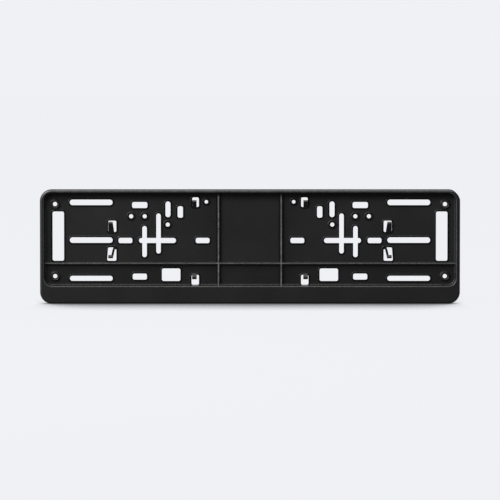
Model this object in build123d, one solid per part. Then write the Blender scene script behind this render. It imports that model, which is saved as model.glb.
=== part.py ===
from build123d import *
from math import atan, degrees, hypot
import os

# A one-piece moulded number plate holder, in millimetres. It is drawn lying on its back: x runs across,
# y runs up the plate and z runs from the mounting face to the front. The last step stands it upright.
# The origin is on the mounting face, in the middle of the four corner screw holes.
# Places across are insets from the end of the recess, the same on both halves of the holder.

# Number plate and the recess that takes it
PLATE_WIDTH = 520.0
PLATE_HEIGHT = 114.0
PLATE_CLEARANCE = 1.6
RECESS_DEPTH = 9.0
RECESS_LEAN = 0.9
RECESS_FOOT_CHAMFER = 1.2
RECESS_RISE = 1.1

# Moulded section
FLOOR_THICKNESS = 2.0
WALL_THICKNESS = 1.5
RIM_SIDE = 5.2
RIM_TOP = 4.4
RIM_CORNER = 15.0
CORNER_STEP = 5.0
RIM_ROUND = 2.9
CREST_CHAMFER = 0.8
CREST_LAND = 0.15
BAND_HEIGHT = 22.5
GROOVE_DEPTH = 6.0
BAND_RIB_PITCH = 44.0
BAND_RIB_THICKNESS = 1.4
BAND_RIB_SETBACK = 1.0

# Ribs on the floor that carry the plate
RIB_HEIGHT = 4.0
RIB_FOOT = 2.8
RIB_CREST = 1.0
RIB_CHAMFER = 0.5
CROSS_RIB_RISE = 27.65
UPRIGHT_RIB_INSET = 221.6

# Corner screw holes
CORNER_INSET = 13.0
CORNER_ROW_INSET = 12.6
CORNER_HOLE = 5.5
CORNER_BOSS = 12.0
CORNER_BOSS_DRAFT = 0.7
CORNER_BOSS_HEIGHT = 1.8
CORNER_SINK = 9.2
CORNER_SINK_DEPTH = 1.8

# Long screw slots in the top, middle and bottom rows
LONG_SLOT_INSET = 59.1
LONG_SLOT_LENGTH = 55.0
LONG_SLOT_WIDTH = 7.5
LONG_SLOT_BOTTOM_WIDTH = 6.8
LONG_SLOT_TOP_DROP = 11.55
LONG_SLOT_BOTTOM_RISE = 8.65

# Short slots in the middle row
SHORT_SLOT_OUTER_INSET = 102.7
SHORT_SLOT_INNER_INSET = 201.2
SHORT_SLOT_LENGTH = 18.0
SHORT_SLOT_WIDTH = 7.2
SHORT_SLOT_CORNER = 2.6
SHORT_ROW_DROP = 0.5

# Short slots near the top and the bottom of the recess
EDGE_SLOT_INSET = 121.0
EDGE_SLOT_TOP_LENGTH = 19.9
EDGE_SLOT_BOTTOM_LENGTH = 18.5
EDGE_SLOT_WIDTH = 8.1
EDGE_SLOT_TOP_DROP = 14.95
EDGE_SLOT_BOTTOM_RISE = 10.85

# Upright slots
UPRIGHT_SLOT_INSET = 157.0
UPRIGHT_SLOT_LENGTH = 20.4
UPRIGHT_SLOT_WIDTH = 6.8
UPRIGHT_SLOT_DROP = 20.4
UPRIGHT_WINDOW_INSET = 172.7
UPRIGHT_WINDOW_LENGTH = 15.0
UPRIGHT_WINDOW_WIDTH = 7.2
UPRIGHT_WINDOW_DROP = 23.8

# Slot of a level bar crossed by two arms
BAR_INSET = 143.6
BAR_LENGTH = 47.6
BAR_WIDTH = 6.9
ARM_WIDTH = 6.2
OUTER_ARM_OFFSET = 16.5
OUTER_ARM_LENGTH = 40.2
OUTER_ARM_RISE = -1.9
INNER_ARM_OFFSET = -1.3
INNER_ARM_LENGTH = 51.6
INNER_ARM_RISE = 8.45

# Round screw holes
ROUND_HOLE = 5.5
PAIR_HOLE_INSET = 110.0
PAIR_HOLE_PITCH = 17.3
PAIR_HOLE_DROP = 29.25
LONE_HOLE_INSET = 156.7
LONE_HOLE_DROP = 39.9
TOP_HOLE = 4.7
TOP_HOLE_INSET = 205.9
TOP_HOLE_DROP = 10.8

# Windows
WINDOW_CORNER = 2.5
WINDOW_LAND = 1.85
TALL_WINDOW_INSET = 17.1
TALL_WINDOW_WIDTH = 15.0
TALL_WINDOW_TOP_LAND = 3.3
LOW_WINDOW_INSET = 161.0
LOW_WINDOW_WIDTH = 24.0
LOW_WINDOW_HEIGHT = 16.4
LOW_WINDOW_RISE = 13.25

# Windows that hold the spring tongues
EDGE_WINDOW_INSET = 196.65
TOP_WINDOW_WIDTH = 8.85
TOP_WINDOW_HEIGHT = 12.6
TOP_WINDOW_LAND = 5.0
BOTTOM_WINDOW_WIDTH = 9.85
BOTTOM_WINDOW_HEIGHT = 13.0
BOTTOM_WINDOW_LAND = 0.3
MID_WINDOW_INSET = 91.3
UPPER_WINDOW_WIDTH = 10.75
UPPER_WINDOW_HEIGHT = 14.8
UPPER_WINDOW_RISE = 10.2
LOWER_WINDOW_WIDTH = 11.1
LOWER_WINDOW_FLARE = 1.0
LOWER_WINDOW_LAND = 5.35
TONGUE_WINDOW_CHAMFER = 1.2

# Spring tongues
TONGUE_THICKNESS = 1.6
TONGUE_RISE = 3.6
TONGUE_WIDTH = 5.5
TONGUE_ROOT = 1.8
TONGUE_TIP = 0.6
UP_NOSE = 1.6
UP_NOSE_DROP = 1.0
DOWN_NOSE = 2.8
DOWN_NOSE_DROP = 1.8
TOP_TONGUE_SLIT = 0.25
TOP_TONGUE_LENGTH = 8.9
UPPER_TONGUE_SLIT = 0.45
UPPER_TONGUE_LENGTH = 13.3
UPPER_TONGUE_FLARE = 2.2
BOTTOM_TONGUE_SLIT = 1.2
BOTTOM_TONGUE_LENGTH = 5.6
HOOK_LEG = 2.5
HOOK_LEG_INSET = 1.2
HOOK_LEG_SHIFT = 3.7
HOOK_GUSSET = 2.8
HOOK_FOOT_HEIGHT = 3.6
HOOK_FOOT_RISE = 1.2
HOOK_FOOT_GAP = 3.6
HOOK_FOOT_SLIT = 0.8

# Sizes that follow from the ones above
DEPTH = FLOOR_THICKNESS + RECESS_DEPTH
FLOOR_WIDTH = PLATE_WIDTH + 2 * PLATE_CLEARANCE
FLOOR_HEIGHT = PLATE_HEIGHT + 2 * PLATE_CLEARANCE
FLOOR_END = FLOOR_WIDTH / 2
FLOOR_TOP = RECESS_RISE + FLOOR_HEIGHT / 2
FLOOR_BOTTOM = RECESS_RISE - FLOOR_HEIGHT / 2
OPENING_WIDTH = FLOOR_WIDTH + 2 * RECESS_LEAN
OPENING_HEIGHT = FLOOR_HEIGHT + 2 * RECESS_LEAN
OUTER_WIDTH = OPENING_WIDTH + 2 * RIM_SIDE
OUTER_HEIGHT = OPENING_HEIGHT + RIM_TOP + BAND_HEIGHT
OUTER_CENTRE = RECESS_RISE + (RIM_TOP - BAND_HEIGHT) / 2
OUTER_BOTTOM = OUTER_CENTRE - OUTER_HEIGHT / 2
CORNER_ROW = FLOOR_HEIGHT / 2 - CORNER_ROW_INSET
CROSS_RIB_ROW = FLOOR_BOTTOM + CROSS_RIB_RISE
CROSS_RIB_EDGE = CROSS_RIB_ROW + RIB_FOOT / 2
WALL_SLOPE = degrees(atan(RECESS_LEAN / RECESS_DEPTH))
RECESS_CORNER = RIM_CORNER - CORNER_STEP
RIM_AT_CORNER = CORNER_STEP - hypot(CORNER_STEP - RIM_SIDE, CORNER_STEP - RIM_TOP)

# How solids that stand on a face are placed, and the plane for outlines seen from the end of the holder
UPWARDS = (Align.CENTER, Align.CENTER, Align.MIN)
SIDE_VIEW = Plane(origin=(0, 0, 0), x_dir=(0, 1, 0), z_dir=(1, 0, 0))


def across(inset):
    """Distance from the middle of the holder of a place set in from the end of the recess."""
    return FLOOR_END - inset


def both_halves(shapes):
    """The shapes together with their mirror images on the other half."""
    right = Part() + shapes
    return right + mirror(right, about=Plane.YZ)


def leaning_block(margin, depth):
    """Block that follows the recess wall, a margin outside it, from the crest down by the depth."""
    outline = RectangleRounded(
        OPENING_WIDTH + 2 * margin, OPENING_HEIGHT + 2 * margin, RECESS_CORNER + margin
    )
    block = extrude(outline, depth, taper=WALL_SLOPE)
    return Pos(0, RECESS_RISE, DEPTH) * Rot(180, 0, 0) * block


def rib_profile():
    """Section of a floor rib: tapered, with a chamfered top, set into the floor."""
    foot = RIB_FOOT / 2
    crest = RIB_CREST / 2
    shoulder = (crest + RIB_CHAMFER, RIB_HEIGHT - RIB_CHAMFER)
    half = [(0, -FLOOR_THICKNESS), (foot, -FLOOR_THICKNESS), (foot, 0), shoulder, (crest, RIB_HEIGHT)]
    other_half = [(-x, z) for x, z in reversed(half[1:])]
    return Polygon(*half, *other_half, align=None)


def floor_ribs():
    """One rib along the whole recess and two upright ribs that cross it."""
    level_profile = SIDE_VIEW * Pos(CROSS_RIB_ROW, FLOOR_THICKNESS) * rib_profile()
    level = extrude(level_profile, OPENING_WIDTH / 2, both=True)
    upright_profile = Plane.XZ * Pos(across(UPRIGHT_RIB_INSET), FLOOR_THICKNESS) * rib_profile()
    upright = Pos(0, RECESS_RISE, 0) * extrude(upright_profile, OPENING_HEIGHT / 2, both=True)
    return level + both_halves(upright)


def recess():
    """Space for the number plate, with a chamfered foot, around the floor ribs."""
    space = leaning_block(0, RECESS_DEPTH)
    foot = space.faces().sort_by(Axis.Z)[0]
    space = space.chamfer(RECESS_FOOT_CHAMFER, None, foot.edges())
    return space - floor_ribs()


def rim_groove(inside):
    """Groove in the back of the rim, between its outer wall and the recess wall."""
    return extrude(inside, GROOVE_DEPTH) - leaning_block(WALL_THICKNESS, DEPTH)


def band_pocket(inside):
    """Hollow behind the band, divided by ribs at an even pitch."""
    band = Rectangle(OUTER_WIDTH, FLOOR_BOTTOM - OUTER_BOTTOM, align=(Align.CENTER, Align.MIN))
    pocket = extrude(inside & Pos(0, OUTER_BOTTOM) * band, DEPTH - WALL_THICKNESS)
    count = int(OUTER_WIDTH / BAND_RIB_PITCH)
    rib = Box(BAND_RIB_THICKNESS, OUTER_HEIGHT, DEPTH, align=UPWARDS)
    ribs = [place * rib for place in GridLocations(BAND_RIB_PITCH, 0, count, 1)]
    pocket -= Pos(0, OUTER_CENTRE, BAND_RIB_SETBACK) * (Part() + ribs)
    return pocket - leaning_block(WALL_THICKNESS, DEPTH)


def shell():
    """Rim, band and floor as a tray that is hollow behind the rim and the band."""
    outline = Pos(0, OUTER_CENTRE) * RectangleRounded(OUTER_WIDTH, OUTER_HEIGHT, RIM_CORNER)
    tray = extrude(outline, DEPTH)
    front = tray.faces().sort_by(Axis.Z)[-1]
    narrowest = min(RIM_TOP, RIM_SIDE, RIM_AT_CORNER)
    tray = tray.fillet(min(RIM_ROUND, narrowest - CREST_CHAMFER - CREST_LAND), front.edges())
    inside = offset(outline, -WALL_THICKNESS)
    tray -= recess()
    tray -= rim_groove(inside)
    tray -= band_pocket(inside)
    crest = tray.faces().filter_by(Axis.Z).sort_by(Axis.Z)[-1]
    return tray.chamfer(CREST_CHAMFER, None, crest.inner_wires()[0].edges())


def cross_slot():
    """Level bar crossed by two arms, all with round ends."""
    bar = Pos(across(BAR_INSET), -SHORT_ROW_DROP) * SlotOverall(BAR_LENGTH, BAR_WIDTH)
    outer_x = across(BAR_INSET) + OUTER_ARM_OFFSET
    inner_x = across(BAR_INSET) + INNER_ARM_OFFSET
    outer = Pos(outer_x, OUTER_ARM_RISE) * SlotOverall(OUTER_ARM_LENGTH, ARM_WIDTH, 90)
    inner = Pos(inner_x, INNER_ARM_RISE) * SlotOverall(INNER_ARM_LENGTH, ARM_WIDTH, 90)
    return bar + outer + inner


def slots():
    """Screw slots on one half, as outlines in their places."""
    long_slot = SlotOverall(LONG_SLOT_LENGTH, LONG_SLOT_WIDTH)
    bottom_slot = SlotOverall(LONG_SLOT_LENGTH, LONG_SLOT_BOTTOM_WIDTH)
    short_slot = RectangleRounded(SHORT_SLOT_LENGTH, SHORT_SLOT_WIDTH, SHORT_SLOT_CORNER)
    top_edge_slot = RectangleRounded(EDGE_SLOT_TOP_LENGTH, EDGE_SLOT_WIDTH, WINDOW_CORNER)
    bottom_edge_slot = RectangleRounded(EDGE_SLOT_BOTTOM_LENGTH, EDGE_SLOT_WIDTH, WINDOW_CORNER)
    upright_slot = SlotOverall(UPRIGHT_SLOT_LENGTH, UPRIGHT_SLOT_WIDTH, 90)
    return [
        Pos(across(LONG_SLOT_INSET), FLOOR_TOP - LONG_SLOT_TOP_DROP) * long_slot,
        Pos(across(LONG_SLOT_INSET), 0) * long_slot,
        Pos(across(LONG_SLOT_INSET), FLOOR_BOTTOM + LONG_SLOT_BOTTOM_RISE) * bottom_slot,
        Pos(across(SHORT_SLOT_OUTER_INSET), -SHORT_ROW_DROP) * short_slot,
        Pos(across(SHORT_SLOT_INNER_INSET), -SHORT_ROW_DROP) * short_slot,
        Pos(across(EDGE_SLOT_INSET), FLOOR_TOP - EDGE_SLOT_TOP_DROP) * top_edge_slot,
        Pos(across(EDGE_SLOT_INSET), FLOOR_BOTTOM + EDGE_SLOT_BOTTOM_RISE) * bottom_edge_slot,
        Pos(across(UPRIGHT_SLOT_INSET), FLOOR_TOP - UPRIGHT_SLOT_DROP) * upright_slot,
        cross_slot(),
    ]


def round_holes():
    """Plain round screw holes on one half, as outlines in their places."""
    round_hole = Circle(ROUND_HOLE / 2)
    return [
        Pos(across(PAIR_HOLE_INSET), FLOOR_TOP - PAIR_HOLE_DROP) * round_hole,
        Pos(across(PAIR_HOLE_INSET + PAIR_HOLE_PITCH), FLOOR_TOP - PAIR_HOLE_DROP) * round_hole,
        Pos(across(LONE_HOLE_INSET), FLOOR_TOP - LONE_HOLE_DROP) * round_hole,
        Pos(across(TOP_HOLE_INSET), FLOOR_TOP - TOP_HOLE_DROP) * Circle(TOP_HOLE / 2),
    ]


def plain_windows():
    """Windows without a tongue on one half, as outlines in their places."""
    tall_bottom = CROSS_RIB_EDGE + WINDOW_LAND
    tall_top = CORNER_ROW - CORNER_BOSS / 2 - TALL_WINDOW_TOP_LAND
    tall = RectangleRounded(TALL_WINDOW_WIDTH, tall_top - tall_bottom, WINDOW_CORNER)
    low = RectangleRounded(LOW_WINDOW_WIDTH, LOW_WINDOW_HEIGHT, WINDOW_CORNER)
    upright_window = RectangleRounded(UPRIGHT_WINDOW_WIDTH, UPRIGHT_WINDOW_LENGTH, WINDOW_CORNER)
    return [
        Pos(across(TALL_WINDOW_INSET), (tall_top + tall_bottom) / 2) * tall,
        Pos(across(LOW_WINDOW_INSET), FLOOR_BOTTOM + LOW_WINDOW_RISE) * low,
        Pos(across(UPRIGHT_WINDOW_INSET), FLOOR_TOP - UPRIGHT_WINDOW_DROP) * upright_window,
    ]


def through(outline):
    """Cutter for an opening through the floor."""
    return extrude(outline, DEPTH, both=True)


def corner_places():
    """Places of the four corner screw holes."""
    return GridLocations(2 * across(CORNER_INSET), 2 * CORNER_ROW, 2, 2)


def corner_boss():
    """Round boss of a corner screw hole, on the floor, a little slimmer at its top."""
    boss = Cone(CORNER_BOSS / 2, CORNER_BOSS / 2 - CORNER_BOSS_DRAFT, CORNER_BOSS_HEIGHT, align=UPWARDS)
    return Pos(0, 0, FLOOR_THICKNESS) * boss


def corner_hole():
    """Cutter for a corner screw hole with its countersink."""
    top = FLOOR_THICKNESS + CORNER_BOSS_HEIGHT
    bore = Cylinder(CORNER_HOLE / 2, 2 * DEPTH)
    sink = Cone(CORNER_HOLE / 2, CORNER_SINK / 2, CORNER_SINK_DEPTH, align=UPWARDS)
    return bore + Pos(0, 0, top - CORNER_SINK_DEPTH) * sink


def tongue_windows():
    """The four windows on one half that hold a tongue, as (inner side, outer side, bottom, top)."""
    edge = across(EDGE_WINDOW_INSET)
    mid = across(MID_WINDOW_INSET)
    top_edge = FLOOR_TOP - TOP_WINDOW_LAND
    bottom_edge = FLOOR_BOTTOM + BOTTOM_WINDOW_LAND
    upper_top = UPPER_WINDOW_RISE + UPPER_WINDOW_HEIGHT
    lower_top = -LONG_SLOT_WIDTH / 2 - LOWER_WINDOW_LAND
    return {
        "top": (edge, edge + TOP_WINDOW_WIDTH, top_edge - TOP_WINDOW_HEIGHT, top_edge),
        "upper": (mid, mid + UPPER_WINDOW_WIDTH, UPPER_WINDOW_RISE, upper_top),
        "lower": (mid, mid + LOWER_WINDOW_WIDTH, CROSS_RIB_EDGE + WINDOW_LAND, lower_top),
        "bottom": (edge, edge + BOTTOM_WINDOW_WIDTH, bottom_edge, bottom_edge + BOTTOM_WINDOW_HEIGHT),
    }


def window_outline(window, flare):
    """Outline of a tongue's window, with its corners cut off, wider at its foot by the flare."""
    inner, outer, bottom, top = window
    outline = Polygon((inner, bottom), (outer + flare, bottom), (outer, top), (inner, top), align=None)
    return chamfer(outline.vertices(), TONGUE_WINDOW_CHAMFER)


def tongue_outlines():
    """Outlines of the windows on one half that hold a tongue."""
    windows = tongue_windows()
    plain = [window_outline(windows[name], 0) for name in ("top", "upper", "bottom")]
    return plain + [window_outline(windows["lower"], LOWER_WINDOW_FLARE)]


def rising_strip(root, tip, nose, drop):
    """Strip across the holder that rises from the floor at the root to a ridge and drops over its nose."""
    reach = 1 if tip > root else -1
    start = root - reach * TONGUE_ROOT
    ridge = tip - reach * nose
    low = FLOOR_THICKNESS - TONGUE_THICKNESS
    end = FLOOR_THICKNESS + TONGUE_RISE - drop
    front = [(start, low), (start, FLOOR_THICKNESS), (ridge, FLOOR_THICKNESS + TONGUE_RISE), (tip, end)]
    back = [(tip, end - TONGUE_TIP), (ridge, low + TONGUE_RISE)]
    return extrude(SIDE_VIEW * Polygon(*front, *back, align=None), OUTER_WIDTH, both=True)


def tongue(window, length, from_top, slit, flare):
    """Tongue from the window's top or bottom edge, a slit away from its outer side, wider at the root."""
    outer = window[1] - slit
    bottom, top = window[2:]
    inner = outer - TONGUE_WIDTH
    reach = -1 if from_top else 1
    root = top if from_top else bottom
    start = root - reach * TONGUE_ROOT
    tip = root + reach * length
    nose, drop = (DOWN_NOSE, DOWN_NOSE_DROP) if from_top else (UP_NOSE, UP_NOSE_DROP)
    plan = Polygon((outer, start), (outer, tip), (inner, tip), (inner - flare, start), align=None)
    return extrude(plan, DEPTH, dir=(0, 0, 1)) & rising_strip(root, tip, nose, drop)


def hook(window):
    """Slim flat leg from the window's inner top corner, braced there, with a ridged foot at its end."""
    inner, outer, bottom, top = window
    low = FLOOR_THICKNESS - TONGUE_THICKNESS
    leg_top = inner + HOOK_LEG_INSET
    leg_end = leg_top + HOOK_LEG_SHIFT
    foot_bottom = bottom + HOOK_FOOT_GAP
    foot_top = foot_bottom + HOOK_FOOT_HEIGHT
    start = top + TONGUE_ROOT
    brace_start = inner - TONGUE_ROOT
    brace_row = top - HOOK_GUSSET
    outer_side = [(leg_end + HOOK_LEG, foot_bottom), (leg_top + HOOK_LEG, start)]
    brace = [(brace_start, start), (brace_start, brace_row), (leg_top + HOOK_LEG / 2, brace_row)]
    plan = Polygon((leg_end, foot_bottom), *outer_side, *brace, align=None)
    leg = Pos(0, 0, low) * extrude(plan, TONGUE_THICKNESS, dir=(0, 0, 1))
    ridge = ((foot_bottom + foot_top) / 2, FLOOR_THICKNESS + HOOK_FOOT_RISE)
    lower_side = [(foot_bottom, low), (foot_bottom, FLOOR_THICKNESS)]
    upper_side = [(foot_top, FLOOR_THICKNESS), (foot_top, low)]
    section = SIDE_VIEW * Polygon(*lower_side, ridge, *upper_side, align=None)
    foot_centre = outer - HOOK_FOOT_SLIT - TONGUE_WIDTH / 2
    return leg + Pos(foot_centre, 0, 0) * extrude(section, TONGUE_WIDTH / 2, both=True)


def tongues():
    """The four tongues on one half."""
    windows = tongue_windows()
    return [
        tongue(windows["top"], TOP_TONGUE_LENGTH, False, TOP_TONGUE_SLIT, 0),
        tongue(windows["upper"], UPPER_TONGUE_LENGTH, False, UPPER_TONGUE_SLIT, UPPER_TONGUE_FLARE),
        hook(windows["lower"]),
        tongue(windows["bottom"], BOTTOM_TONGUE_LENGTH, True, BOTTOM_TONGUE_SLIT, 0),
    ]


def plate_holder():
    """The whole holder, lying on its back."""
    openings = slots() + round_holes() + plain_windows() + tongue_outlines()
    holder = shell()
    holder += [place * corner_boss() for place in corner_places()]
    holder -= both_halves([through(outline) for outline in openings])
    holder -= [place * corner_hole() for place in corner_places()]
    return holder + both_halves(tongues())


os.makedirs("parts", exist_ok=True)
upright = Rot(90, 0, 0) * plate_holder()
export_step(upright, "parts/plate_holder.step")
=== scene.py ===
import math
from collections import namedtuple

import bmesh
import bpy
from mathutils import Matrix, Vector


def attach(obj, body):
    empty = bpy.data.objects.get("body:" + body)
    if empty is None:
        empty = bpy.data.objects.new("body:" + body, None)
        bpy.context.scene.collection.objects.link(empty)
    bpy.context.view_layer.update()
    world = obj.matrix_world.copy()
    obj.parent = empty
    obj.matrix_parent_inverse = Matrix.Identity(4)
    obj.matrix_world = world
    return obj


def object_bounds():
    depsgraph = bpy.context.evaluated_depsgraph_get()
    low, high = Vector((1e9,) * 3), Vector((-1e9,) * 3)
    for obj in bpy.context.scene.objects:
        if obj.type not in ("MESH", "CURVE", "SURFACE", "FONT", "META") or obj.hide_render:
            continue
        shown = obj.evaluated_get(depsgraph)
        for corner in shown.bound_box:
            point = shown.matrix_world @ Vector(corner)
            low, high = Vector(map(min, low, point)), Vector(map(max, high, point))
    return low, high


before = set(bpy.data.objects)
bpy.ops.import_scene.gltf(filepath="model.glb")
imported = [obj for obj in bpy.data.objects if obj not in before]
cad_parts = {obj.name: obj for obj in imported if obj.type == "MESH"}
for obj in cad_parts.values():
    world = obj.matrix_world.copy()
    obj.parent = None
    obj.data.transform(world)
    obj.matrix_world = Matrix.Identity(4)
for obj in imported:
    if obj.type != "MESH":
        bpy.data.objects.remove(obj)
cad_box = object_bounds()

# ---- Shapes, in millimetres, in the part's own frame: x across, z up, the front faces -y ----

MM = 0.001
PANEL_FACE_Y = -2.0
HALVES = (1, -1)
ARC_STEPS = 10
# Half of the straight bit between the two arcs of a slot's round end
SLOT_STRAIGHT = 0.01
# Edges of the raised rings that turn by more than this, in degrees, look sharp
SHARP_ANGLE = 30.0

# Which of the FINISHES a face has; the polished one is glossier and near-black, which paints shade round the
# openings' edges
GRAINED, POLISHED_AND_SHADED = range(2)

# Cross-sections of the raised edges, as (distance out from the opening's edge, height over the floor panel,
# finish of the face that follows)
LIP_PROFILE = (
    (0.05, -0.3, POLISHED_AND_SHADED), (-0.2, 0.05, POLISHED_AND_SHADED), (-0.2, 0.4, POLISHED_AND_SHADED), (-0.1, 0.45, POLISHED_AND_SHADED),
    (1.75, 0.45, GRAINED), (2.2, 0.02, GRAINED), (2.25, -0.3, GRAINED),
)
COLLAR_PROFILE = (
    (0.05, -0.3, POLISHED_AND_SHADED), (-0.1, 0.05, POLISHED_AND_SHADED), (-0.1, 0.5, POLISHED_AND_SHADED), (0.0, 0.6, POLISHED_AND_SHADED),
    (2.2, 0.9, GRAINED), (2.6, 0.9, GRAINED), (3.3, 0.05, GRAINED), (3.35, -0.3, GRAINED),
)
BOSS_PROFILE = (
    (0.05, -0.3, GRAINED), (-0.05, 0.05, GRAINED), (2.1, 2.6, GRAINED), (2.4, 2.6, GRAINED),
    (3.3, 1.82, GRAINED), (4.1, 0.02, GRAINED), (4.15, -0.3, GRAINED),
)

# Places on the right half; the left half mirrors them. Slots with round ends are (x, z, width, height),
# boxes add the radius of their corners and how much further out their foot reaches, holes are
# (x, z, diameter), and the crossed slot's arms are (x, z, length).
ROUND_SLOTS = (
    (202.5, 48.15, 55.0, 7.5), (202.5, 0.0, 55.0, 7.5), (202.5, -48.85, 55.0, 6.8), (104.6, 39.3, 6.8, 20.4),
)
SQUARE_SLOTS = (
    (158.9, -0.5, 18.0, 7.2, 2.6), (60.4, -0.5, 18.0, 7.2, 2.6),
    (140.6, 44.75, 19.9, 8.1, 2.5), (140.6, -46.65, 18.5, 8.1, 2.5),
)
TONGUE_WINDOWS = (
    (69.375, 48.4, 8.85, 12.6, 2.0), (175.675, 17.6, 10.75, 14.8, 2.0),
    (175.85, -17.85, 11.1, 17.5, 2.0, 1.0), (69.875, -50.7, 9.85, 13.0, 2.0),
)
WINDOWS = ((88.9, 35.9, 7.2, 15.0, 2.5), (100.6, -44.25, 24.0, 16.4, 2.5), (244.5, 5.05, 15.0, 63.3, 2.5))
CROSS_BAR = (118.0, -0.5, 47.6, 6.9)
CROSS_ARMS = ((116.7, 8.45, 51.6), (134.5, -1.9, 40.2))
CROSS_ARM_WIDTH = 6.2
CORNER_HOLES = ((248.6, 46.0, 5.5), (248.6, -46.0, 5.5))
ROUND_HOLES = ((151.6, 30.45, 5.5), (134.3, 30.45, 5.5), (104.9, 19.8, 5.5), (55.7, 48.9, 4.7))

# Flat backs of the hook and the bottom tongue, as (x, z) corners, their depths and the rounding of their edges
TONGUE_BACKS = (
    ((174.85, -23.3), (180.85, -23.3), (180.85, -19.1), (176.95, -19.1), (175.2, -11.5), (172.3, -11.5),
     (174.85, -22.55)),
    ((68.0, -50.1), (73.95, -50.1), (73.95, -44.5), (68.0, -44.5)),
)
TONGUE_BACK_Y, TONGUE_FRONT_Y = -0.5, -2.05
TONGUE_BACK_ROUND = 0.15
ROUND_SEGMENTS, ROUND_PROFILE = 2, 0.5

# Boxes where the tongues and the hook's foot get painted shade, as (x, z, width, height)
TONGUE_BOXES = (
    (69.375, 48.4, 8.0, 11.8), (175.675, 17.6, 9.9, 14.0), (177.5, -20.5, 7.0, 8.0), (69.875, -50.7, 9.0, 12.2),
)

# ---- Looks, in metres. A pair of limits goes from where an effect starts to where it is full ----

# Colours are darkest, lightest, and the light rubbed colour that paints highlights, and the roughness goes from
# its lowest to its highest
Finish = namedtuple("Finish", "name dark light worn roughness shine")
FINISHES = (
    Finish(
        "moulded_black_plastic", (0.0108, 0.0108, 0.0107, 1), (0.0142, 0.0142, 0.0141, 1), (0.16, 0.16, 0.158, 1),
        (0.26, 0.32), 0.5,
    ),
    # Polished: glossier, and near-black, which paints the shade round the openings' edges
    Finish(
        "polished_black_plastic_painted_shade", (0.003, 0.003, 0.003, 1), (0.005, 0.005, 0.005, 1), (0.006, 0.006, 0.006, 1),
        (0.2, 0.25), 0.25,
    ),
)
BLACK, WHITE = (0, 0, 0, 1), (1, 1, 1, 1)
# Width of the step at the edge of a zone
MASK_EDGE = 0.0002

# Noise, as (scale for each metre, detail, roughness): flow marks, clouds of wear, specks and fine grain
FLOW, CLOUD, SPECK, GRAIN = (14.0, 3.0, 0.55), (160.0, 4.0, 0.55), (1400.0, 2.0, 0.55), (2600.0, 3.0, 0.65)
FLOW_LIMITS, CLOUD_LIMITS, SPECK_LIMITS = (0.3, 0.7), (0.35, 0.65), (0.2, 0.8)
FLOW_SHARE, SPECK_SHARE = 0.6, 0.4
SPECK_ROUGHNESS = (-0.03, 0.03)
GRAIN_STRENGTH, GRAIN_HEIGHT = 0.12, 0.0002

# The normal's y, which is -1 to the front: faces to the front and slopes
FACING, SLOPED = (-0.5, -0.8), (-0.95, -0.8)

# Rubbing and the painted highlights are patchy, and rubbing leaves the surface a little smoother
CLOUD_PATCHES = (0.4, 1.0)
RUB_SMOOTHS = 0.06
# Edges that stand out at the front are partly rubbed and partly given a painted highlight: how they are rounded,
# the cosine of the turn this gives, and their depth
EDGE_ROUND, EDGE_SAMPLES = 0.0006, 6
EDGE_TURN, EDGE_DEPTH = (0.99, 0.75), (-0.0042, -0.0055)
EDGE_WEAR_AND_HIGHLIGHT = 0.53
# Crests of the ribs get a painted highlight, stronger on the upright ones: their first and last depths, and the
# height where the upright ones' highlight stops, so that their upper ends keep the top wall's shade
CREST_START, CREST_FINISH = (-0.0052, -0.0057), (-0.0064, -0.0061)
CREST_END = (0.0570, 0.0560)
UPRIGHT_RIB = (0.0382, 0.0418)
LEVEL_CREST_HIGHLIGHT, UPRIGHT_CREST_HIGHLIGHT = 0.40, 0.95
# The chamfer round the plate's recess and the top rim above it get a painted highlight: the chamfer's depth, how
# far across it is, how low and how high
PLATE_EDGE_DEPTH = (-0.0097, -0.0103)
PLATE_EDGE_SIDE, PLATE_EDGE_LOW, PLATE_EDGE_HIGH = 0.2633, -0.0592, 0.0614
PLATE_EDGE_HIGHLIGHT, TOP_RIM_HIGHLIGHT = 0.32, 0.27

# The sloped root of the lower wall gets painted shade: its first and last depths, its height and where its
# corners begin; the tongues get painted shade too
ROOT_START, ROOT_FINISH = (-0.00246, -0.0025), (-0.0038, -0.0034)
ROOT_HEIGHT, ROOT_END = (-0.0535, -0.0545), (0.252, 0.247)
ROOT_SHADE, TONGUE_SHADE = 0.95, 0.55
# The floor panel gets painted shade under the top wall, beside the upright ribs and below the level one
PANEL_DEPTH = (-0.0026, -0.0022)
TOP_STRIP, TOP_STRIP_SHADE = (0.0495, 0.0555), 0.5
RIB_MIDDLE = 0.040
RIB_FOOT, RIB_FOOT_SHADE = (0.0042, 0.0030), 0.8
RIB_SIDE, RIB_SIDE_SHADE = (0.070, 0.044), 0.2
LOW_STRIP = (-0.0600, -0.0302)
LOW_STRIP_FADE, LOW_STRIP_SHADE = (-0.042, -0.031), (0.24, 0.45)

# ---- Stage, in metres ----

BACKGROUND = (0.870, 0.878, 0.911, 1)
FLOOR_SIZE = 40.0
FLOOR_NOISE = (3.0, 2.0, 0.55)
FLOOR_FAINTER = 0.995
# Share of the floor's tone that comes from the lamps, what it throws back, and where reflections see it pale
FLOOR_LIT_SHARE = 0.02
FLOOR_BOUNCE = (0.10, 0.101, 0.105, 1)
FLOOR_PALE_Y = (-0.02, 0.03)
# Contact shade: its reach, its strength where the floor is hidden, and how it tapers and blurs past the ends
CONTACT_COLOUR = (0.02, 0.02, 0.02, 1)
CONTACT_REACH, CONTACT_SAMPLES = 0.15, 16
CONTACT_OPEN, CONTACT_STRENGTH = (0.5, 1.0), 0.9
CONTACT_END, CONTACT_TAPER = 0.266, 0.18
CONTACT_SPREAD, CONTACT_SPREAD_LEAST = 0.6, 0.012
CONTACT_FADE = (-0.5, 0.5)
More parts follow.
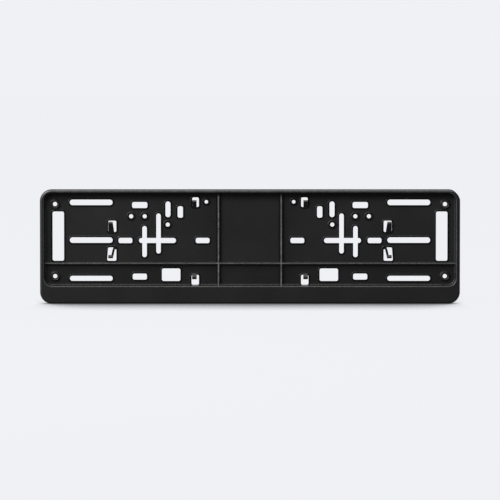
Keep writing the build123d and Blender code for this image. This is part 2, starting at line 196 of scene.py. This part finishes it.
# Light of the surroundings, and of the dim room behind the camera, which only reflections see
WORLD_LIGHT, ROOM_LIGHT = 0.02, 0.02
ROOM_Y = (-0.9, 0.1)

ORIGIN = (0, 0, 0)
KEY_PLACE, KEY_SIZE, KEY_POWER = (-1.2, -1.2, 1.15), 1.2, 42.5
# Wide suns, as (name, direction of the light, strength, angle in degrees)
SUNS = (
    ("top_light", (0.05, 0.64, -0.77), 1.3, 45.0),
    ("left_light", (0.77, 0.60, -0.20), 0.95, 45.0),
    ("rear_light", (-0.55, -0.75, -0.37), 2.2, 30.0),
)
CAMERA_AIM, CAMERA_DISTANCE, CAMERA_ELEVATION = (0, -0.0055, -0.0125), 5.0, 3.0
FRAME_WIDTH, VIEW_LIMIT = 0.6375, 100.0


def arc(cx, cz, radius, start, turn=90.0):
    """Points of an arc, its start and turn in degrees."""
    angles = [math.radians(start + turn * i / ARC_STEPS) for i in range(ARC_STEPS + 1)]
    return [(cx + radius * math.cos(a), cz + radius * math.sin(a)) for a in angles]


def rounded_box(x, z, width, height, corner, flare=0.0):
    """Outline of a box with round corners, as a function of the distance outside its edge."""
    def outline(out):
        across, up, radius = width / 2 - corner, height / 2 - corner, corner + out
        corners = ((across, up, 0), (-across, up, 90), (-across, -up, 180), (across + flare, -up, 270))
        return [point for dx, dz, start in corners for point in arc(x + dx, z + dz, radius, start)]
    return outline


def slot(x, z, width, height):
    """Outline of a slot with round ends."""
    return rounded_box(x, z, width, height, min(width, height) / 2 - SLOT_STRAIGHT)


def round_hole(x, z, size):
    """Outline of a round hole."""
    def outline(out):
        return [point for start in (0, 90, 180, 270) for point in arc(x, z, size / 2 + out, start)[:-1]]
    return outline


def crossed_slot(bar, arms, arm_width):
    """Outline of a level bar crossed by two upright arms, all with round ends."""
    bar_x, bar_z, length, bar_width = bar
    reach = (length - bar_width) / 2

    def bar_edge(x, out):
        """Half the bar's height at a place across."""
        beyond = max(0.0, abs(x - bar_x) - reach)
        return math.sqrt((bar_width / 2 + out) ** 2 - beyond ** 2)

    def outline(out):
        half = arm_width / 2 + out
        radius = bar_width / 2 + out
        outer_x = arms[-1][0] + half
        points = arc(bar_x - reach, bar_z, radius, 90, 180)
        for x, z, arm_length in arms:
            points.append((x - half, bar_z - bar_edge(x - half, out)))
            points += arc(x, z - (arm_length - arm_width) / 2, half, 180, 180)
            points.append((x + half, bar_z - bar_edge(x + half, out)))
        spread = math.degrees(math.acos(max(0.0, (outer_x - bar_x - reach) / radius)))
        points += arc(bar_x + reach, bar_z, radius, -spread, 2 * spread)[1:-1]
        for x, z, arm_length in reversed(arms):
            points.append((x + half, bar_z + bar_edge(x + half, out)))
            points += arc(x, z + (arm_length - arm_width) / 2, half, 0, 180)
            points.append((x - half, bar_z + bar_edge(x - half, out)))
        return points
    return outline


def piece_of(name, shape):
    """The finished shape as an object of the scene."""
    mesh = bpy.data.meshes.new(name)
    shape.to_mesh(mesh)
    shape.free()
    piece = bpy.data.objects.new(name, mesh)
    bpy.context.scene.collection.objects.link(piece)
    return piece


def raised_edges(name, outlines, profile):
    """One piece of closed rings, a raised edge round each outline on both halves."""
    shape = bmesh.new()
    for outline in outlines:
        for side in HALVES:
            loops = []
            for out, height, _ in profile:
                y = (PANEL_FACE_Y - height) * MM
                loops.append([shape.verts.new((side * x * MM, y, z * MM)) for x, z in outline(out)])
            for (_, _, finish), low, high in zip(profile, loops, loops[1:] + loops[:1]):
                for i in range(len(low)):
                    j = (i + 1) % len(low)
                    face = shape.faces.new((low[i], low[j], high[j], high[i]))
                    face.material_index = finish
    bmesh.ops.recalc_face_normals(shape, faces=shape.faces)
    piece = piece_of(name, shape)
    piece.data.shade_smooth()
    piece.data.set_sharp_from_angle(angle=math.radians(SHARP_ANGLE))
    return piece


def prisms(name, outlines, back, front, rounding):
    """One piece of blocks with the given outlines and rounded edges, between two depths, on both halves."""
    shape = bmesh.new()
    for outline in outlines:
        for side in HALVES:
            rows = [
                [shape.verts.new((side * x * MM, y * MM, z * MM)) for x, z in outline] for y in (back, front)
            ]
            for row in rows:
                shape.faces.new(row)
            for i in range(len(outline)):
                shape.faces.new((rows[0][i], rows[0][i - 1], rows[1][i - 1], rows[1][i]))
    bmesh.ops.recalc_face_normals(shape, faces=shape.faces)
    bmesh.ops.bevel(
        shape, geom=shape.edges[:], offset=rounding * MM, segments=ROUND_SEGMENTS, profile=ROUND_PROFILE,
        affect="EDGES",
    )
    return piece_of(name, shape)


class Shading:
    """The node tree of a material or a world, built by calls that give sockets back."""

    def __init__(self, owner):
        owner.use_nodes = True
        self.tree = owner.node_tree

    def put(self, value, target):
        """Links a socket to an input, or sets a plain value on it."""
        if isinstance(value, bpy.types.NodeSocket):
            self.tree.links.new(value, target)
        else:
            target.default_value = value

    def add(self, kind, **values):
        """A new node, with its properties set and its named inputs linked or set."""
        node = self.tree.nodes.new("ShaderNode" + kind)
        for key, value in values.items():
            if key in node.bl_rna.properties:
                setattr(node, key, value)
            else:
                self.put(value, node.inputs[key.replace("_", " ")])
        return node

    def joined(self, operation, *values):
        """Values joined one after another by a node's operation."""
        result = values[0]
        for value in values[1:]:
            node = self.add("Math", operation=operation)
            self.put(result, node.inputs[0])
            self.put(value, node.inputs[1])
            result = node.outputs["Value"]
        return result

    def total(self, *values):
        """Sum of the values."""
        return self.joined("ADD", *values)

    def product(self, *values):
        """Product of the values."""
        return self.joined("MULTIPLY", *values)

    def largest(self, *values):
        """Largest of the values."""
        return self.joined("MAXIMUM", *values)

    def size(self, value):
        """A value without its sign."""
        node = self.add("Math", operation="ABSOLUTE")
        self.put(value, node.inputs[0])
        return node.outputs["Value"]

    def ramp(self, value, limits, results=(0.0, 1.0)):
        """The value mapped from one range to another, and held at the ends."""
        node = self.add(
            "MapRange", Value=value, From_Min=limits[0], From_Max=limits[1], To_Min=results[0], To_Max=results[1]
        )
        return node.outputs["Result"]

    def above(self, value, limit):
        """1 where the value is above a limit, else 0, with a short step between."""
        return self.ramp(value, (limit, limit + MASK_EDGE))

    def below(self, value, limit):
        """1 where the value is below a limit, else 0, with a short step between."""
        return self.ramp(value, (limit, limit + MASK_EDGE), (1.0, 0.0))

    def within(self, value, low, high):
        """1 where the value lies between two limits, else 0, with a short step outside each."""
        return self.product(self.above(value, low - MASK_EDGE), self.below(value, high))

    def noise(self, place, scale, detail, roughness):
        """Noise texture, with its scale for each metre."""
        node = self.add("TexNoise", Vector=place, Scale=scale, Detail=detail, Roughness=roughness)
        return node.outputs["Fac"]

    def axes(self, vector):
        """The x, y and z parts of a vector."""
        parts = self.add("SeparateXYZ", Vector=vector).outputs
        return parts["X"], parts["Y"], parts["Z"]

    def colour_between(self, share, first, second):
        """A colour between two, by a share from 0 to 1."""
        node = self.add("Mix", data_type="RGBA", Factor=share)
        sockets = {socket.identifier: socket for socket in (*node.inputs, *node.outputs)}
        self.put(first, sockets["A_Color"])
        self.put(second, sockets["B_Color"])
        return sockets["Result_Color"]

    def shader_between(self, share, first, second):
        """A shader between two, by a share from 0 to 1."""
        node = self.add("MixShader", Fac=share)
        self.put(first, node.inputs[1])
        self.put(second, node.inputs[2])
        return node.outputs["Shader"]

    def seeing_rays(self):
        """1 for a ray of the camera, and 1 for a ray of gloss or glass."""
        path = self.add("LightPath").outputs
        return path["Is Camera Ray"], self.largest(path["Is Glossy Ray"], path["Is Transmission Ray"])


# A point of the surface: how far it is from the middle, its depth and height, whether it faces the front or
# slopes, and the cosine of the turn that a rounded edge gives its normal
Spot = namedtuple("Spot", "across depth height facing sloped turn")


def wear_and_highlight_share(shading, spot):
    """How much painted highlight, with some rubbed wear, the surface gets: at edges, on the ribs' crests, at the
    plate's edge and on the top rim.
    """
    edge = shading.product(
        shading.ramp(spot.turn, EDGE_TURN),
        shading.ramp(spot.depth, EDGE_DEPTH, (0.0, EDGE_WEAR_AND_HIGHLIGHT)),
    )
    crest = shading.product(
        shading.ramp(spot.depth, CREST_START),
        shading.ramp(spot.depth, CREST_FINISH),
        spot.facing,
        shading.ramp(shading.within(spot.across, *UPRIGHT_RIB), (0.0, 1.0), (LEVEL_CREST_HIGHLIGHT, UPRIGHT_CREST_HIGHLIGHT)),
        shading.ramp(spot.height, CREST_END),
    )
    plate_edge = shading.product(
        shading.within(spot.height, PLATE_EDGE_LOW, PLATE_EDGE_HIGH),
        shading.below(spot.across, PLATE_EDGE_SIDE),
        spot.sloped,
        shading.ramp(spot.depth, PLATE_EDGE_DEPTH, (0.0, PLATE_EDGE_HIGHLIGHT)),
    )
    top_rim = shading.product(spot.facing, shading.above(spot.height, PLATE_EDGE_HIGH), TOP_RIM_HIGHLIGHT)
    return shading.largest(plate_edge, top_rim, edge, crest)


def tongue_shade_share(shading, spot, x, z, width, height):
    """How much painted shade one tongue's box gets."""
    return shading.product(
        shading.within(spot.across, (x - width / 2) * MM, (x + width / 2) * MM),
        shading.within(spot.height, (z - height / 2) * MM, (z + height / 2) * MM),
        TONGUE_SHADE,
    )


def painted_shade_share(shading, spot):
    """How much painted shade darkens the surface: on the lower wall's root, on the tongues and in zones of the
    floor panel.
    """
    root = shading.product(
        spot.sloped,
        shading.ramp(spot.depth, ROOT_START),
        shading.ramp(spot.depth, ROOT_FINISH),
        shading.ramp(spot.height, ROOT_HEIGHT, (0.0, ROOT_SHADE)),
        shading.ramp(spot.across, ROOT_END),
    )
    tongues = [tongue_shade_share(shading, spot, *box) for box in TONGUE_BOXES]
    foot = shading.ramp(shading.size(shading.total(spot.across, -RIB_MIDDLE)), RIB_FOOT, (0.0, RIB_FOOT_SHADE))
    side = shading.product(
        shading.above(spot.across, RIB_MIDDLE),
        shading.ramp(spot.across, RIB_SIDE, (0.0, RIB_SIDE_SHADE)),
    )
    low = shading.product(
        shading.within(spot.height, *LOW_STRIP),
        shading.ramp(spot.height, LOW_STRIP_FADE, LOW_STRIP_SHADE),
    )
    high = shading.ramp(spot.height, TOP_STRIP, (0.0, TOP_STRIP_SHADE))
    panel = shading.product(
        spot.facing,
        shading.ramp(spot.depth, PANEL_DEPTH),
        shading.largest(foot, high, shading.total(side, low)),
    )
    return shading.largest(panel, root, *tongues)


def moulded_plastic(finish):
    """Black moulded plastic: fine spark-eroded grain, faint flow marks, painted highlights with some wear, and
    painted shade.
    """
    material = bpy.data.materials.new(finish.name)
    shading = Shading(material)
    coordinates = shading.add("TexCoord").outputs
    place = coordinates["Object"]
    flow, cloud, speck, grain = [shading.noise(place, *kind) for kind in (FLOW, CLOUD, SPECK, GRAIN)]

    soft = shading.add("Bevel", samples=EDGE_SAMPLES, Radius=EDGE_ROUND).outputs["Normal"]
    turn = shading.add("VectorMath", operation="DOT_PRODUCT")
    shading.put(soft, turn.inputs[0])
    shading.put(shading.add("NewGeometry").outputs["Normal"], turn.inputs[1])
    sideways, depth, height = shading.axes(place)
    normal_y = shading.axes(coordinates["Normal"])[1]
    spot = Spot(
        shading.size(sideways), depth, height,
        shading.ramp(normal_y, FACING), shading.ramp(normal_y, SLOPED), turn.outputs["Value"],
    )
    # Painted highlights with some rubbed wear, in patches, on edges, crests, the plate's edge and the top rim
    wear_and_highlight = shading.product(wear_and_highlight_share(shading, spot), shading.ramp(cloud, CLOUD_LIMITS, CLOUD_PATCHES))

    mottle = shading.total(shading.product(flow, FLOW_SHARE), shading.product(speck, SPECK_SHARE))
    base = shading.colour_between(shading.ramp(mottle, FLOW_LIMITS), finish.dark, finish.light)
    # Painted shade darkens the base towards black
    shaded_base = shading.colour_between(painted_shade_share(shading, spot), base, BLACK)
    roughness = shading.total(
        shading.ramp(flow, FLOW_LIMITS, finish.roughness),
        shading.ramp(speck, SPECK_LIMITS, SPECK_ROUGHNESS),
        shading.product(wear_and_highlight, -RUB_SMOOTHS),
    )
    bump = shading.add("Bump", Strength=GRAIN_STRENGTH, Distance=GRAIN_HEIGHT, Height=grain, Normal=soft)

    inputs = shading.tree.nodes["Principled BSDF"].inputs
    # The base turns towards the light rubbed colour where highlights are painted
    shading.put(shading.colour_between(wear_and_highlight, shaded_base, finish.worn), inputs["Base Color"])
    shading.put(roughness, inputs["Roughness"])
    shading.put(finish.shine, inputs["Specular IOR Level"])
    shading.put(bump.outputs["Normal"], inputs["Normal"])
    return material


def pale_floor():
    """Material of the floor: even and pale with a soft contact shade, greyer to the light that it throws back."""
    material = bpy.data.materials.new("pale_floor")
    shading = Shading(material)
    nodes = shading.tree.nodes
    nodes.remove(nodes["Principled BSDF"])
    place = shading.add("TexCoord").outputs["Object"]
    across, along, _ = shading.axes(place)

    fainter = tuple(FLOOR_FAINTER * c for c in BACKGROUND[:3]) + (1,)
    tone = shading.colour_between(shading.noise(place, *FLOOR_NOISE), BACKGROUND, fainter)
    away = shading.size(along)
    past_end = shading.total(shading.size(across), -CONTACT_END, shading.product(away, CONTACT_TAPER))
    spread = shading.total(shading.product(away, CONTACT_SPREAD), CONTACT_SPREAD_LEAST)
    covered = shading.ramp(shading.joined("DIVIDE", past_end, spread), CONTACT_FADE, (1.0, 0.0))
    open_share = shading.add("AmbientOcclusion", samples=CONTACT_SAMPLES, Distance=CONTACT_REACH).outputs["AO"]
    shaded = shading.product(shading.ramp(open_share, CONTACT_OPEN, (CONTACT_STRENGTH, 0.0)), covered)
    colour = shading.colour_between(shaded, tone, CONTACT_COLOUR)

    even = shading.add("Emission", Color=colour, Strength=1.0).outputs["Emission"]
    lit = shading.add("BsdfDiffuse", Color=colour).outputs["BSDF"]
    bounce = shading.add("BsdfDiffuse", Color=FLOOR_BOUNCE).outputs["BSDF"]
    direct, mirrored = shading.seeing_rays()
    seen = shading.largest(direct, shading.product(mirrored, shading.ramp(along, FLOOR_PALE_Y)))
    view = shading.shader_between(seen, bounce, shading.shader_between(FLOOR_LIT_SHARE, even, lit))
    shading.put(view, nodes["Material Output"].inputs["Surface"])
    return material


def studio_floor(level):
    """Large pale floor that the object stands on."""
    bpy.ops.mesh.primitive_plane_add(size=FLOOR_SIZE, location=(0, 0, level))
    floor = bpy.context.object
    floor.name = "studio_floor"
    floor.data.materials.append(pale_floor())


def pale_world():
    """Pale surroundings, with a dim room behind the camera that only reflections see, and little light."""
    world = bpy.data.worlds.new("studio")
    bpy.context.scene.world = world
    shading = Shading(world)
    shading.tree.nodes.clear()
    along = shading.axes(shading.add("TexCoord").outputs["Generated"])[1]
    room_strength = shading.ramp(along, ROOM_Y, (ROOM_LIGHT, 1.0))
    pale, room, light = [
        shading.add("Background", Color=colour, Strength=strength).outputs["Background"]
        for colour, strength in ((BACKGROUND, 1.0), (BACKGROUND, room_strength), (WHITE, WORLD_LIGHT))
    ]
    direct, mirrored = shading.seeing_rays()
    view = shading.shader_between(direct, shading.shader_between(mirrored, light, room), pale)
    shading.put(view, shading.add("OutputWorld").inputs["Surface"])


def placed(name, data, place, towards):
    """A lamp or camera of the scene at a place, looking in a direction."""
    thing = bpy.data.objects.new(name, data)
    thing.location = place
    thing.rotation_mode = "QUATERNION"
    thing.rotation_quaternion = Vector(towards).to_track_quat("-Z", "Y")
    bpy.context.scene.collection.objects.link(thing)
    return thing


def softbox(name, place, aim, size, power):
    """Square soft lamp that faces a point."""
    data = bpy.data.lights.new(name, "AREA")
    data.size = size
    data.energy = power
    placed(name, data, place, Vector(aim) - Vector(place))


def wide_sun(name, towards, strength, angle):
    """Soft light from one direction, the same all over the scene."""
    data = bpy.data.lights.new(name, "SUN")
    data.energy = strength
    data.angle = math.radians(angle)
    placed(name, data, ORIGIN, towards)


def camera(aim, distance, elevation, frame_width):
    """Camera in front of the part, a little above it, with a long lens."""
    data = bpy.data.cameras.new("camera")
    data.lens = data.sensor_width * distance / frame_width
    data.clip_end = VIEW_LIMIT
    rise = math.radians(elevation)
    back = Vector((0, -math.cos(rise), math.sin(rise)))
    bpy.context.scene.camera = placed("camera", data, Vector(aim) + distance * back, -back)


plastics = [moulded_plastic(finish) for finish in FINISHES]
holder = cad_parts["plate_holder"]
holder.data.materials.clear()
holder.data.materials.append(plastics[GRAINED])

raised = {
    "lips_of_slots": ([slot(*at) for at in ROUND_SLOTS] + [rounded_box(*at) for at in SQUARE_SLOTS], LIP_PROFILE),
    "lips_of_windows": ([rounded_box(*at) for at in WINDOWS], LIP_PROFILE),
    "lips_of_tongue_windows": ([rounded_box(*at) for at in TONGUE_WINDOWS], LIP_PROFILE),
    "lips_of_crossed_slots": ([crossed_slot(CROSS_BAR, CROSS_ARMS, CROSS_ARM_WIDTH)], LIP_PROFILE),
    "collars_of_holes": ([round_hole(*at) for at in ROUND_HOLES], COLLAR_PROFILE),
    "faces_of_corner_bosses": ([round_hole(*at) for at in CORNER_HOLES], BOSS_PROFILE),
}
for name, (outlines, profile) in raised.items():
    piece = raised_edges(name, outlines, profile)
    for plastic in plastics:
        piece.data.materials.append(plastic)
    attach(piece, "root")

# Near-black backs behind the tongues, which add to the tongues' painted shade
backs = prisms("backs_of_tongues", TONGUE_BACKS, TONGUE_BACK_Y, TONGUE_FRONT_Y, TONGUE_BACK_ROUND)
backs.data.materials.append(plastics[POLISHED_AND_SHADED])
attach(backs, "root")

studio_floor(cad_box[0].z)
pale_world()
softbox("key_softbox", KEY_PLACE, ORIGIN, KEY_SIZE, KEY_POWER)
for sun in SUNS:
    wide_sun(*sun)
camera(CAMERA_AIM, CAMERA_DISTANCE, CAMERA_ELEVATION, FRAME_WIDTH)
bpy.context.scene.view_settings.view_transform = "Standard"
